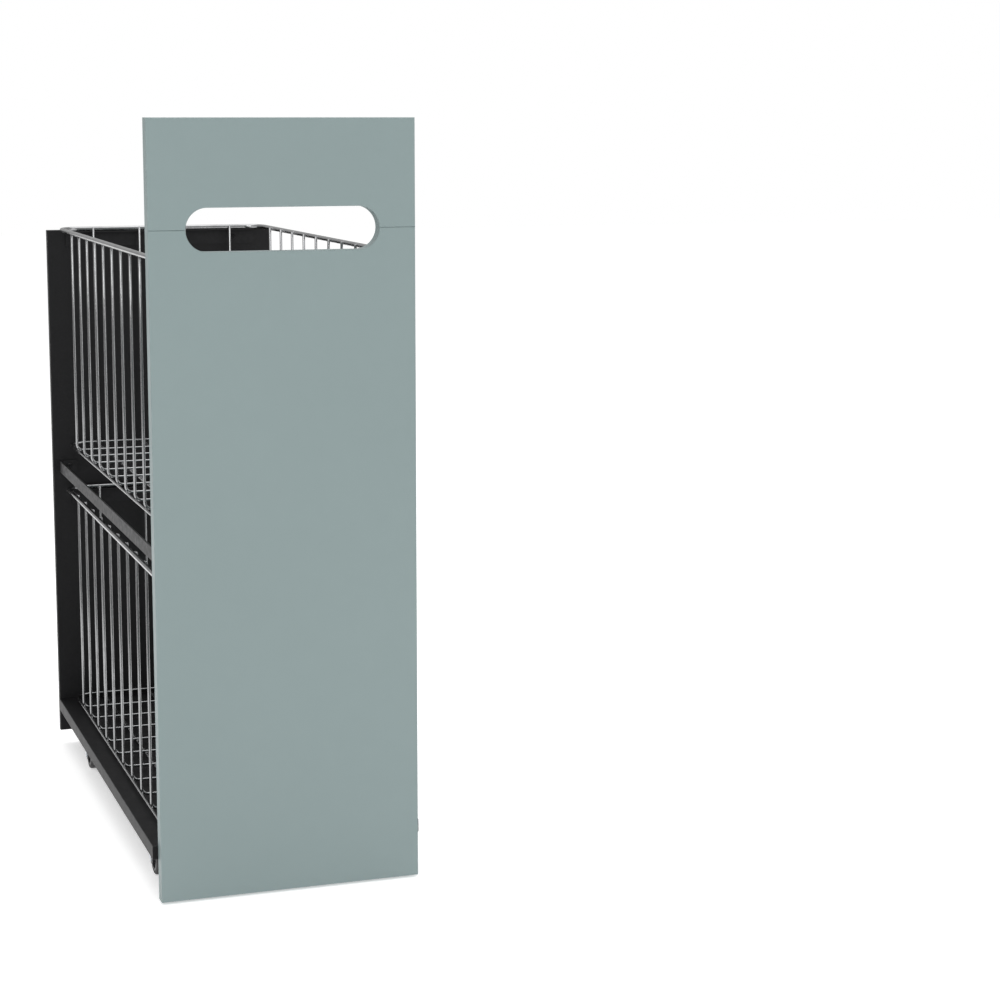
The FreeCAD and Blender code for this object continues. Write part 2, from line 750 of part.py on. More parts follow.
def build_bottom_ring(name, cross_floor, long_floor):
    """A ring outside the bends: half way round those of the cross wires, touching the long wires."""
    level = f"({cross_floor} + Sizes.wire_bend - {RING_REACH} * sqrt(0.5))"
    half_wide = f"({RIM_HALF} - {WIRE_INSET} - Sizes.wire_bend + {RING_REACH} * sqrt(0.5))"
    rise = f"({long_floor} + Sizes.wire_bend - {level})"
    past_bend = f"(sqrt({RING_REACH}^2 - {rise}^2) - Sizes.wire_bend)"
    front = f"({RIM_FRONT} + {WIRE_INSET} - {past_bend})"
    rear = f"({RIM_REAR} - {WIRE_INSET} + {past_bend})"
    build_loop(name, level, half_wide, front, rear, "Sizes.ring_corner", "Sizes.wire_radius")


def build_cross_wires(name, floor, top):
    body = new_body(name)
    side = f"({RIM_HALF} - {WIRE_INSET})"
    path = new_sketch(body, name + "_path", "XZ_Plane", f"-{CROSS_FIRST}")
    corners = [(f"-{side}", top), (f"-{side}", floor), (side, floor), (side, top)]
    add_run(path, corners, "Sizes.wire_bend")
    foot = (f"-{side}", CROSS_FIRST)
    wire = wire_pipe(body, name + "_wire", path, foot, "Sizes.wire_radius", "XY_Plane", top)
    pattern(body, wire, "Y_Axis", CROSS_ROW, "Sizes.cross_wire_count")
    keep(body, name)


def build_long_wires(name, floor, top):
    body = new_body(name)
    front, rear = f"({RIM_FRONT} + {WIRE_INSET})", f"({RIM_REAR} - {WIRE_INSET})"
    row_half = f"({RIM_HALF} - Sizes.long_wire_inset)"
    first = f"(-{row_half})"
    path = new_sketch(body, name + "_path", "YZ_Plane", first)
    corners = [(front, top), (front, floor), (rear, floor), (rear, top)]
    add_run(path, corners, "Sizes.wire_bend")
    wire = wire_pipe(body, name + "_wire", path, (first, front), "Sizes.wire_radius", "XY_Plane", top)
    pattern(body, wire, "X_Axis", f"2 * {row_half}", "Sizes.long_wire_count")
    keep(body, name)


# ---- castors ---------------------------------------------------------------------------------


def build_castor_fixings():
    """The plates under the base, and on each its kingpin and its race, all alike."""
    axes = list(castor_axes().values())
    plate = new_body("castor_plate")
    outline = new_sketch(plate, "castor_plate_outline", "XY_Plane", PLATE_UNDER)
    half = "Sizes.castor_plate / 2"
    corners = [(half, "0"), (half, half), (f"-{half}", half), (f"-{half}", f"-{half}"), (half, f"-{half}")]
    add_run(outline, corners, "Sizes.castor_plate_corner", closed=True)
    add_circle(outline, ("0", "0"), "Sizes.kingpin_radius + Sizes.pin_room")
    pad(plate, outline, "Sizes.steel_thick")
    step = "Sizes.castor_hole_pitch / 2"
    holes = [(f"{across} * {step}", f"{along} * {step}", PLATE_UNDER)
             for across in LEFT_RIGHT.values() for along in FRONT_BACK.values()]
    drilled = drill(plate, "castor_plate_drilled", holes, "Sizes.steel_hole", "Sizes.steel_thick")
    copies(drilled, "castor_plates", axes)

    pin = new_body("kingpin")
    profile = new_sketch(pin, "kingpin_outline", "XZ_Plane")
    add_polygon(profile, [
        ("0", KINGPIN_HEAD_UNDER),
        ("Sizes.kingpin_head_radius", KINGPIN_HEAD_UNDER),
        ("Sizes.kingpin_head_radius", KINGPIN_HEAD_TOP),
        ("Sizes.kingpin_radius", KINGPIN_HEAD_TOP),
        ("Sizes.kingpin_radius", DECK_UNDER),
        ("0", DECK_UNDER),
    ])
    revolve(pin, profile, "V_Axis")
    copies(pin, "castor_kingpins", axes)

    race = new_body("race")
    ring = new_sketch(race, "race_outline", "XY_Plane", RACE_UNDER)
    add_circle(ring, ("0", "0"), "Sizes.race_radius")
    add_circle(ring, ("0", "0"), "Sizes.kingpin_radius + Sizes.pin_room")
    pad(race, ring, "Sizes.race_tall")
    copies(race, "castor_races", axes)


def build_fork(name, axis):
    """A crown under the plate and two legs that trail to the axle."""
    body = new_body(name)
    trail = "-Sizes.castor_trail"
    axle_level = "Sizes.wheel_radius"
    legs = new_sketch(body, name + "_legs", "YZ_Plane")
    add_polygon(legs, [
        ("-Sizes.leg_top_half", CROWN_TOP),
        (f"{trail} - Sizes.leg_foot_half", axle_level),
        (f"{trail} + Sizes.leg_foot_half", axle_level),
        ("Sizes.leg_top_half", CROWN_TOP),
    ])
    pad(body, legs, f"2 * {FORK_HALF}", both_ways=True)
    feet = new_sketch(body, name + "_feet", "YZ_Plane")
    add_circle(feet, (trail, axle_level), "Sizes.leg_foot_half")
    pad(body, feet, f"2 * {FORK_HALF}", both_ways=True)
    gap = new_sketch(body, name + "_gap", "YZ_Plane")
    reach = "(Sizes.castor_trail + Sizes.wheel_radius)"
    add_rectangle(gap, (f"-{reach}", "0"), (reach, CROWN_UNDER))
    pocket(body, gap, f"2 * {FORK_GAP_HALF}", both_ways=True)
    crown = new_sketch(body, name + "_crown", "XY_Plane", CROWN_UNDER)
    add_circle(crown, ("0", "0"), "Sizes.crown_radius")
    pad(body, crown, "Sizes.crown_tall")
    axle_bore = new_sketch(body, name + "_axle_bore", "YZ_Plane")
    add_circle(axle_bore, (trail, axle_level), "Sizes.axle_radius + Sizes.pin_room")
    pocket(body, axle_bore, f"2 * {FORK_HALF}", both_ways=True)
    pin_bore = new_sketch(body, name + "_pin_bore", "XY_Plane", CROWN_TOP)
    add_circle(pin_bore, ("0", "0"), "Sizes.kingpin_radius + Sizes.pin_room")
    pocket(body, pin_bore, "Sizes.crown_tall")
    put(body, *axis)
    keep(body, name)


def build_turned(name, axis, corners):
    """A piece turned about the axle. Corners are given as a distance along it and a radius."""
    body = new_body(name)
    profile = new_sketch(body, name + "_outline", "XY_Plane")
    add_polygon(profile, corners)
    solid = revolve(body, profile, "H_Axis")
    x, y = axis
    put(body, x, f"{y} - Sizes.castor_trail", "Sizes.wheel_radius")
    keep(body, name)
    return body, solid


def build_axle(name, axis):
    """A rivet with a head outside each leg."""
    face = FORK_HALF
    end = f"({FORK_HALF} + Sizes.axle_head_tall)"
    pin, head = "Sizes.axle_radius", "Sizes.axle_head_radius"
    build_turned(name, axis, [
        (f"-{end}", "0"), (f"-{end}", head), (f"-{face}", head), (f"-{face}", pin),
        (face, pin), (face, head), (end, head), (end, "0"),
    ])


def build_hub(name, axis):
    """The boss, web and rim that the tyre sits on."""
    boss = f"({FORK_GAP_HALF} - Sizes.hub_side_room)"
    bore = "Sizes.axle_radius + Sizes.pin_room"
    web, seat = "Sizes.web_half", RIM_SEAT
    inside = f"({RIM_SEAT} - Sizes.hub_rim_thick)"
    build_turned(name, axis, [
        (f"-{boss}", bore), (f"-{boss}", "Sizes.hub_radius"), (f"-{web}", "Sizes.hub_radius"),
        (f"-{web}", inside), (f"-{TYRE_HALF}", inside), (f"-{TYRE_HALF}", seat),
        (TYRE_HALF, seat), (TYRE_HALF, inside), (web, inside),
        (web, "Sizes.hub_radius"), (boss, "Sizes.hub_radius"), (boss, bore),
    ])


def build_tyre(name, axis):
    """The tread, with both shoulders rounded."""
    seat, tread = RIM_SEAT, "Sizes.wheel_radius"
    corners = [(f"-{TYRE_HALF}", seat), (f"-{TYRE_HALF}", tread), (TYRE_HALF, tread), (TYRE_HALF, seat)]
    body, solid = build_turned(name, axis, corners)
    doc.recompute()
    tread_radius = value(tread)
    shoulders = [
        f"Edge{number}"
        for number, edge in enumerate(solid.Shape.Edges, start=1)
        if hasattr(edge.Curve, "Radius") and abs(edge.Curve.Radius - tread_radius) < 1e-6
    ]
    fillet = body.newObject("PartDesign::Fillet", name + "_shoulders")
    fillet.Base = (solid, shoulders)
    bind(fillet, Radius="Sizes.tyre_round")


def build_castors():
    build_castor_fixings()
    for corner, axis in castor_axes().items():
        build_fork(f"{corner}_castor_fork", axis)
        build_axle(f"{corner}_castor_axle", axis)
        build_hub(f"{corner}_wheel_hub", axis)
        build_tyre(f"{corner}_wheel_tyre", axis)


# ---- the whole -------------------------------------------------------------------------------


def check_all():
    """Stops on any object that failed, and on any sub-part without a sound shape."""
    for thing in doc.Objects:
        if "Invalid" in thing.State or "Error" in thing.State:
            raise RuntimeError(f"{thing.Name} failed: {thing.State}")
    for piece in pieces:
        if piece.Shape.isNull() or not piece.Shape.isValid() or not piece.Shape.Solids:
            raise RuntimeError(f"{piece.Label} has no sound solid")


def write_all():
    os.makedirs("parts", exist_ok=True)
    for piece in pieces:
        piece.Shape.exportStep(f"parts/{piece.Label}.step")
        box = piece.Shape.optimalBoundingBox(False)
        spans = " ".join(f"{low:.1f}..{high:.1f}" for low, high in
                         ((box.XMin, box.XMax), (box.YMin, box.YMax), (box.ZMin, box.ZMax)))
        print(f"{piece.Label}: {len(piece.Shape.Solids)} solids, {spans}")


fill_sheet()
build_front()
build_base()
build_back()
build_dowels()
build_joining_plates()
for end_name in FRONT_BACK:
    build_brackets(end_name)
for side_name in LEFT_RIGHT:
    build_tie(side_name)
for basket_name in ("upper", "lower"):
    for end_name in FRONT_BACK:
        build_rail(basket_name, end_name)
build_screws()
for basket_name in ("upper", "lower"):
    build_basket(basket_name)
build_castors()
doc.recompute()
check_all()
write_all()
print(len(pieces), "sub-parts written")
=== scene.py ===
"""Looks of the pull-out laundry sorter: lacquered fronts, black boards, plated wire baskets and castors.

Metres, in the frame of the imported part: +Z up, front towards -Y, origin on the floor.
"""

import math

import bmesh
import bpy
from mathutils import Matrix, Vector


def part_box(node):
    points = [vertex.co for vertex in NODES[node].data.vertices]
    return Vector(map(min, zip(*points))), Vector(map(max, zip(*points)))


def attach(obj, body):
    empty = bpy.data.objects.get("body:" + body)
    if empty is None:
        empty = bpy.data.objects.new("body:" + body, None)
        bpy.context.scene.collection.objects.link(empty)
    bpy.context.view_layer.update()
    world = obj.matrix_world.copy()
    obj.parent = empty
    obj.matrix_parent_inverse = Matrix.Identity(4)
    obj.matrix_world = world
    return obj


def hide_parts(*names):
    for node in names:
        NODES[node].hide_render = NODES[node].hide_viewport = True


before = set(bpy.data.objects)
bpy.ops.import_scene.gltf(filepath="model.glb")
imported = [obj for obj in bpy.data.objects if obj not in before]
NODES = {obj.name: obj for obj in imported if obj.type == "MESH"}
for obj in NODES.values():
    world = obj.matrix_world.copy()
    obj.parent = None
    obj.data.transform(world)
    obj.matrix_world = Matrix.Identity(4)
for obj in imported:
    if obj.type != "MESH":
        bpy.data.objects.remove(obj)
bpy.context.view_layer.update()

MM = 0.001

# Basket wire, as the frame has it
RIM_RADIUS = 3.0 * MM
RIM_CORNER = 25.0 * MM
RING_CORNER = 20.0 * MM
WIRE_RADIUS = 1.7 * MM
WIRE_BEND = 8.0 * MM
LONG_WIRE_COUNT = 4
CROSS_WIRE_COUNT = 10

# Welds: how far a bead reaches along the wires, and how far round them
CROSSING_WELD = (1.75 * MM, 1.75 * MM)
RING_WELD = (1.7 * MM, 1.5 * MM)
RIM_WELD = (2.3 * MM, 1.5 * MM)
WELD_FLATNESS = 0.62

# The butt joint in the rim: places along it, how much fatter it is than the rim, and how domed its ends
BUTT_JOINT = (-1.8 * MM, -0.9 * MM, 0.9 * MM, 1.8 * MM)
BUTT_SWELL = 1.05
BUTT_DOME = 0.2

# A rounded wire end: shares of the wire's radius at the tip and near it, and how far along the dome that is
END_SHARE, NEAR_END_SHARE, NEAR_END_PLACE = 0.62, 0.88, 0.35

# Wheel, as the frame has it
TYRE_SEAT = 15.5 * MM
HUB_RIM_INSIDE = 13.0 * MM
HUB_WEB = 3.0 * MM
HUB_BOSS = 6.0 * MM

# What is moulded on the tyre; a groove's outline has places from its middle and shares of its depth
TYRE_SHOULDER = 2.5 * MM
GROOVE_PLACES = (-3.2 * MM, 0.0, 3.2 * MM)
GROOVE_DEPTH = 0.35 * MM
GROOVE_OUTLINE = ((-0.55 * MM, 0), (-0.3 * MM, 0.85), (0, 1), (0.3 * MM, 0.85), (0.55 * MM, 0))

# Ribs on both faces of the hub's web, sunk a little into the web, the boss and the rim
RIB_COUNT = 6
RIB_HALF_AT_ROOT = 0.98 * MM
RIB_HALF_AT_TIP = 0.56 * MM
RIB_SINK = 0.2 * MM
RIB_BURY = 0.4 * MM
RIB_STEP_IN = 1.6 * MM
RIB_BEVEL = 0.2 * MM

# How finely round things are cut
WIRE_SIDES = 16
RIM_SIDES = 20
BEND_STEPS = 8
SHOULDER_STEPS = 6
LATHE_STEPS = 72


# ---- materials -------------------------------------------------------------------------------


class Shader:
    """A node material under construction."""

    def __init__(self, name):
        self.material = bpy.data.materials.new(name)
        self.material.use_nodes = True
        self.tree = self.material.node_tree
        self.surface = self.tree.nodes["Principled BSDF"]
        self.place = self.add("ShaderNodeTexCoord").outputs["Object"]

    def add(self, kind, **settings):
        node = self.tree.nodes.new(kind)
        for key, setting in settings.items():
            setattr(node, key, setting)
        return node

    def feed(self, socket, source):
        """Links a socket to an output, or sets it to a value."""
        if isinstance(source, bpy.types.NodeSocket):
            self.tree.links.new(source, socket)
        else:
            socket.default_value = source

    def math(self, operation, *terms):
        node = self.add("ShaderNodeMath", operation=operation)
        for socket, term in zip(node.inputs, terms):
            self.feed(socket, term)
        return node.outputs[0]

    def stretched(self, scale):
        """Object coordinates scaled unevenly, for grain and drawing marks."""
        node = self.add("ShaderNodeMapping")
        self.feed(node.inputs["Vector"], self.place)
        node.inputs["Scale"].default_value = scale
        return node.outputs[0]

    def noise(self, scale, detail=2.0, roughness=0.5, place=None):
        node = self.add("ShaderNodeTexNoise")
        self.feed(node.inputs["Vector"], place or self.place)
        node.inputs["Scale"].default_value = scale
        node.inputs["Detail"].default_value = detail
        node.inputs["Roughness"].default_value = roughness
        return node.outputs["Fac"]

    def soft_cells(self, scale):
        node = self.add("ShaderNodeTexVoronoi", feature="SMOOTH_F1")
        self.feed(node.inputs["Vector"], self.place)
        node.inputs["Scale"].default_value = scale
        return node.outputs["Distance"]

    def span(self, source, low, high, to_low=0.0, to_high=1.0):
        """Maps a range of values onto another, clamped."""
        node = self.add("ShaderNodeMapRange", clamp=True)
        for socket, term in zip(node.inputs, (source, low, high, to_low, to_high)):
            self.feed(socket, term)
        return node.outputs[0]

    def blend(self, share, first, second):
        node = self.add("ShaderNodeMix", data_type="RGBA")
        self.feed(node.inputs["Factor"], share)
        for socket, colour in ((node.inputs[6], first), (node.inputs[7], second)):
            self.feed(socket, colour if isinstance(colour, bpy.types.NodeSocket) else rgba(colour))
        return node.outputs[2]

    def relief(self, *layers):
        """Stacks bumps, each a height, a strength and a depth in metres."""
        normal = None
        for height, strength, depth in layers:
            bump = self.add("ShaderNodeBump")
            bump.inputs["Strength"].default_value = strength
            bump.inputs["Distance"].default_value = depth
            self.feed(bump.inputs["Height"], height)
            if normal is not None:
                self.feed(bump.inputs["Normal"], normal)
            normal = bump.outputs[0]
        self.feed(self.surface.inputs["Normal"], normal)

    def corner_wear(self, low, high, width):
        """1 along the straight edges of a box and 0 a short way in: nearness to the second nearest face."""
        split = self.add("ShaderNodeSeparateXYZ")
        self.feed(split.inputs[0], self.place)
        depths = []
        for axis in range(3):
            middle, half = (low[axis] + high[axis]) / 2, (high[axis] - low[axis]) / 2
            offset = self.math("ABSOLUTE", self.math("SUBTRACT", split.outputs[axis], middle))
            depths.append(self.math("SUBTRACT", half, offset))
        least = self.math("MINIMUM", depths[0], depths[1])
        most = self.math("MAXIMUM", depths[0], depths[1])
        second = self.math("MAXIMUM", least, self.math("MINIMUM", most, depths[2]))
        return self.span(second, 0.0, width, 1.0, 0.0)

    def finish(self, **sockets):
        for name, source in sockets.items():
            socket = self.surface.inputs[name.replace("_", " ")]
            if socket.type == "RGBA" and not isinstance(source, bpy.types.NodeSocket):
                source = rgba(source)
            self.feed(socket, source)
        return self.material


def rgba(colour):
    return (*colour, 1.0) if len(colour) == 3 else tuple(colour)


LACQUER = (0.187, 0.240, 0.240)
LACQUER_WORN = (0.250, 0.312, 0.312)
BOARD_BLACK = (0.005, 0.005, 0.0055)
BOARD_GREY = (0.0068, 0.0068, 0.0074)
STEEL_BLACK = (0.006, 0.006, 0.0065)
# Plated wire, darkened well below bright plating as painted shade; the duller tone of its blooms is darkened
# alike
PLATED_PAINTED_SHADE = (0.32, 0.323, 0.327)
PLATED_DULL_PAINTED_SHADE = (0.20, 0.20, 0.203)
ZINC = (0.58, 0.60, 0.62)
ZINC_BLUE = (0.48, 0.53, 0.60)
RUBBER = (0.022, 0.022, 0.023)
NYLON = (0.035, 0.035, 0.037)
BEECH = (0.56, 0.36, 0.20)
BEECH_DARK = (0.40, 0.23, 0.11)


def lacquer(name, low, high):
    """Sprayed matt lacquer: a faint orange peel, slow shifts of shade, and rubbed edges."""
    s = Shader(name)
    clouds = s.noise(3.2, detail=3.0)
    mottle = s.noise(46.0, detail=4.0)
    shade = s.blend(s.span(clouds, 0.3, 0.7), [c * 0.985 for c in LACQUER], [c * 1.015 for c in LACQUER])
    shade = s.blend(s.span(mottle, 0.35, 0.75, 0.0, 0.35), shade, [c * 0.965 for c in LACQUER])
    rub = s.math("MULTIPLY", s.corner_wear(low, high, 1.4 * MM), s.span(s.noise(70.0), 0.42, 0.72))
    colour = s.blend(s.math("MULTIPLY", rub, 0.55), shade, LACQUER_WORN)
    smudge = s.noise(14.0, detail=5.0, roughness=0.62)
    roughness = s.math("SUBTRACT", s.span(smudge, 0.3, 0.7, 0.40, 0.50), s.math("MULTIPLY", rub, 0.08))
    s.relief((s.noise(560.0, detail=1.5), 0.10, 0.0003), (s.noise(1900.0, detail=1.0), 0.05, 0.0001))
    return s.finish(Base_Color=colour, Roughness=roughness, IOR=1.5)


def black_board(name, low, high):
    """Melamine-faced board: a fine pearl grain pressed in the face and slightly greyed edges."""
    s = Shader(name)
    fleck = s.noise(320.0, detail=4.0)
    base = s.blend(s.span(fleck, 0.3, 0.7), BOARD_BLACK, BOARD_GREY)
    rub = s.math("MULTIPLY", s.corner_wear(low, high, 1.1 * MM), s.span(s.noise(90.0), 0.35, 0.7))
    colour = s.blend(s.math("MULTIPLY", rub, 0.5), base, (0.10, 0.10, 0.10))
    roughness = s.span(s.noise(60.0, detail=5.0), 0.3, 0.7, 0.47, 0.52)
    s.relief((s.soft_cells(900.0), 0.32, 0.0004), (s.noise(2400.0), 0.08, 0.0001))
    return s.finish(Base_Color=colour, Roughness=roughness, Specular_IOR_Level=0.2)


def plated_wire(name, along):
    """Plated wire whose colour is darkened well below bright plating as painted shade: drawing lines along
    it, and duller blooms here and there.
    """
    s = Shader(name)
    lines = s.noise(1.0, detail=3.0, place=s.stretched(along))
    bloom = s.span(s.noise(38.0, detail=3.0), 0.48, 0.74)
    # Both plated tones carry painted shade; the blooms between them are real duller patches
    colour = s.blend(s.math("MULTIPLY", bloom, 0.55), PLATED_PAINTED_SHADE, PLATED_DULL_PAINTED_SHADE)
    roughness = s.math("ADD", s.span(lines, 0.3, 0.7, 0.10, 0.18), s.math("MULTIPLY", bloom, 0.12))
    s.relief((lines, 0.10, 0.0001), (s.noise(1400.0), 0.04, 0.0001))
    return s.finish(Base_Color=colour, Metallic=1.0, Roughness=roughness)


def powder_coat(name, colour_from, low_rough, high_rough, grain, gloss=0.2):
    """Stoved powder: a leathery fine grain and a dry sheen."""
    s = Shader(name)
    mottle = s.span(s.noise(240.0, detail=4.0), 0.3, 0.7)
    colour = s.blend(mottle, colour_from, [c * 1.6 for c in colour_from])
    roughness = s.span(s.noise(150.0, detail=4.0), 0.3, 0.7, low_rough, high_rough)
    s.relief((s.noise(grain, detail=2.0), 0.30, 0.0002))
    return s.finish(Base_Color=colour, Roughness=roughness, Specular_IOR_Level=gloss)


def zinc_plate(name):
    """Zinc plating: a bluish tint that comes and goes, and a fine frost."""
    s = Shader(name)
    tint = s.span(s.noise(140.0, detail=2.0), 0.35, 0.7)
    roughness = s.span(s.noise(700.0, detail=3.0), 0.3, 0.7, 0.22, 0.38)
    s.relief((s.noise(2600.0, detail=2.0), 0.12, 0.0001))
    return s.finish(Base_Color=s.blend(tint, ZINC, ZINC_BLUE), Metallic=1.0, Roughness=roughness)


def rubber(name):
    """Matt grey-black rubber with picked-up dust."""
    s = Shader(name)
    dust = s.span(s.noise(210.0, detail=5.0, roughness=0.65), 0.46, 0.80)
    colour = s.blend(s.math("MULTIPLY", dust, 0.45), RUBBER, (0.13, 0.125, 0.12))
    s.relief((s.noise(1500.0, detail=3.0), 0.25, 0.0002))
    return s.finish(Base_Color=colour, Roughness=s.span(dust, 0.0, 1.0, 0.62, 0.85))


def nylon(name):
    """Moulded black nylon: slow flow marks and a fine grain."""
    s = Shader(name)
    flow = s.noise(95.0, detail=3.0)
    colour = s.blend(s.span(flow, 0.3, 0.7), NYLON, [c * 1.5 for c in NYLON])
    s.relief((s.noise(1900.0, detail=2.0), 0.14, 0.0001))
    return s.finish(Base_Color=colour, Roughness=s.span(flow, 0.3, 0.7, 0.34, 0.48))


def beech(name):
    """Turned beech: darker grain drawn out along Z."""
    s = Shader(name)
    grain = s.noise(1.0, detail=5.0, place=s.stretched((900.0, 900.0, 60.0)))
    s.relief((grain, 0.30, 0.0003))
    return s.finish(Base_Color=s.blend(s.span(grain, 0.35, 0.7), BEECH, BEECH_DARK), Roughness=0.62)


def dress(node, material):
    """Gives a carried-over CAD node this material in place of its own."""
    mesh = NODES[node].data
    mesh.materials.clear()
    mesh.materials.append(material)


def dress_frame():
    for node in ("front_lower_board", "front_upper_board"):
        dress(node, lacquer("matt_lacquer_" + node, *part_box(node)))
    for node in ("base_board", "back_panel"):
        dress(node, black_board("black_faced_" + node, *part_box(node)))
    coated = powder_coat("black_powder_coat", STEEL_BLACK, 0.42, 0.56, 1500.0)
    zinc = zinc_plate("zinc_plate")
    black_screw = powder_coat("black_screw_finish", STEEL_BLACK, 0.28, 0.40, 2400.0)
    for node in NODES:
        if node.endswith(("_rail", "_plates", "_brackets")):
            dress(node, coated)
        elif node.endswith("rail_screws"):
            dress(node, black_screw)
        elif node.endswith(("_screws", "_races", "_kingpins")):
            dress(node, zinc)
    enamel = powder_coat("black_enamel", STEEL_BLACK, 0.26, 0.38, 900.0, gloss=0.5)
    for node in NODES:
        if node.endswith("_castor_fork"):
            dress(node, enamel)
        elif node.endswith("_castor_axle"):
            dress(node, zinc)
    dress("castor_plates", enamel)
    dress("front_dowels", beech("beech"))


# ---- mesh work -------------------------------------------------------------------------------

X_WAY, Y_WAY, Z_WAY = Vector((1, 0, 0)), Vector((0, 1, 0)), Vector((0, 0, 1))


def run_with_bends(stops, radius, steps, closed=False):
    """Points along square runs whose turns are true arcs."""
    points = [] if closed else [stops[0]]
    count = len(stops)
    turns = range(count) if closed else range(1, count - 1)
    for number in turns:
        before, corner, after = stops[number - 1], stops[number], stops[(number + 1) % count]
        into = (corner - before).normalized()
        out = (after - corner).normalized()
        centre = corner - into * radius + out * radius
        for step in range(steps + 1):
            angle = math.pi / 2 * step / steps
            points.append(centre - out * radius * math.cos(angle) + into * radius * math.sin(angle))
    if not closed:
        points.append(stops[-1])
    return points


def tube(mesh, points, radius, sides, closed=False, dome=0.35):
    """Sweeps a round wire along points into a bmesh, with domed ends when it is open."""
    count = len(points)
    tangents = []
    for number in range(count):
        ahead = points[(number + 1) % count] if closed or number < count - 1 else points[number]
        behind = points[number - 1] if closed or number > 0 else points[number]
        tangents.append((ahead - behind).normalized())
    across = tangents[0].orthogonal().normalized()
    rings = []
    centres = list(zip(points, tangents, [radius] * count))
    if not closed:
        tip = radius * dome
        start, end = centres[0], centres[-1]
        near = tip * NEAR_END_PLACE
        head = [
            (start[0], start[1], radius * END_SHARE),
            (start[0] + start[1] * near, start[1], radius * NEAR_END_SHARE),
            (start[0] + start[1] * tip, start[1], radius),
        ]
        tail = [
            (end[0] - end[1] * tip, end[1], radius),
            (end[0] - end[1] * near, end[1], radius * NEAR_END_SHARE),
            (end[0], end[1], radius * END_SHARE),
        ]
        centres = head + centres[1:-1] + tail
    for centre, tangent, size in centres:
        across = (across - tangent * across.dot(tangent)).normalized()
        other = tangent.cross(across)
        ring = []
        for side in range(sides):
            angle = 2 * math.pi * side / sides
            ring.append(mesh.verts.new(centre + (across * math.cos(angle) + other * math.sin(angle)) * size))
        rings.append(ring)
    pairs = list(zip(rings, rings[1:]))
    if closed:
        pairs.append((rings[-1], rings[0]))
    for first, second in pairs:
        for side in range(sides):
            after = (side + 1) % sides
            mesh.faces.new((first[side], first[after], second[after], second[side]))
    if not closed:
        mesh.faces.new(list(reversed(rings[0])))
        mesh.faces.new(rings[-1])


def weld_bead(mesh, place, along, across, size):
    """A squeezed-out nugget where two wires meet."""
    reach, girth = size
    upright = along.cross(across).normalized()
    turn = Matrix((along, across, upright)).transposed().to_4x4()
    stretch = Matrix.Diagonal((reach, girth, girth * WELD_FLATNESS, 1.0))
    place_and_turn = Matrix.Translation(place) @ turn @ stretch
    bmesh.ops.create_icosphere(mesh, subdivisions=2, radius=1.0, matrix=place_and_turn)


def finished(name, mesh, material, body, replaced=(), flat=False):
    """Turns a bmesh into a piece that rides on a body."""
    bmesh.ops.recalc_face_normals(mesh, faces=mesh.faces)
    data = bpy.data.meshes.new(name)
    mesh.to_mesh(data)
    mesh.free()
    if not flat:
        data.polygons.foreach_set("use_smooth", [True] * len(data.polygons))
    data.materials.append(material)
    piece = bpy.data.objects.new(name, data)
    bpy.context.scene.collection.objects.link(piece)
    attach(piece, body)
    if replaced:
        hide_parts(*replaced)
    return piece


# ---- baskets ---------------------------------------------------------------------------------


def evenly(low, high, count):
    """Places from low to high, all as far apart."""
    step = (high - low) / (count - 1)
    return [low + step * number for number in range(count)]


class Basket:
    """Where one basket's wires run, worked out from the boxes of its nodes in the frame."""

    def __init__(self, which):
        self.which = which
        rim_low, rim_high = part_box(f"{which}_basket_rim")
        cross_low, cross_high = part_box(f"{which}_basket_cross_wires")
        long_low, long_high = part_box(f"{which}_basket_long_wires")
        ring_low, ring_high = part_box(f"{which}_basket_bottom_ring")

        self.rim_x = rim_high.x - RIM_RADIUS
        self.rim_ys = (rim_low.y + RIM_RADIUS, rim_high.y - RIM_RADIUS)
        self.rim_z = (rim_low.z + rim_high.z) / 2
        self.top = cross_high.z
        self.cross_x = cross_high.x - WIRE_RADIUS
        self.cross_ys = evenly(cross_low.y + WIRE_RADIUS, cross_high.y - WIRE_RADIUS, CROSS_WIRE_COUNT)
        self.cross_z = cross_low.z + WIRE_RADIUS
        self.long_xs = evenly(long_low.x + WIRE_RADIUS, long_high.x - WIRE_RADIUS, LONG_WIRE_COUNT)
        self.long_ys = (long_low.y + WIRE_RADIUS, long_high.y - WIRE_RADIUS)
        self.long_z = long_low.z + WIRE_RADIUS
        self.ring_x = ring_high.x - WIRE_RADIUS
        self.ring_ys = (ring_low.y + WIRE_RADIUS, ring_high.y - WIRE_RADIUS)
        self.ring_z = (ring_low.z + ring_high.z) / 2

    def add(self, name, mesh, material, *replaced):
        """Makes a mesh one piece of this basket, in place of those of its nodes that it replaces."""
        finished(f"{self.which}_{name}", mesh, material, f"{self.which}_basket",
                 [f"{self.which}_basket_{node}" for node in replaced])


def level_loop(mesh, x, ys, z, bend, radius, sides):
    """A closed level wire that reaches as far to the left as to the right."""
    front, rear = ys
    corners = [Vector(corner) for corner in ((x, front, z), (x, rear, z), (-x, rear, z), (-x, front, z))]
    tube(mesh, run_with_bends(corners, bend, BEND_STEPS * 2, closed=True), radius, sides, closed=True)


def hairpin(mesh, *stops):
    """A wire that goes down, along the basket's floor and up again."""
    path = run_with_bends([Vector(stop) for stop in stops], WIRE_BEND, BEND_STEPS)
    tube(mesh, path, WIRE_RADIUS, WIRE_SIDES)


def draw_rim(basket, material):
    """The fat top wire, with the butt joint of its two ends at the back."""
    mesh = bmesh.new()
    level_loop(mesh, basket.rim_x, basket.rim_ys, basket.rim_z, RIM_CORNER, RIM_RADIUS, RIM_SIDES)
    joint = [Vector((x, basket.rim_ys[1], basket.rim_z)) for x in BUTT_JOINT]
    tube(mesh, joint, RIM_RADIUS * BUTT_SWELL, RIM_SIDES, dome=BUTT_DOME)
    basket.add("rim_wire", mesh, material, "rim")


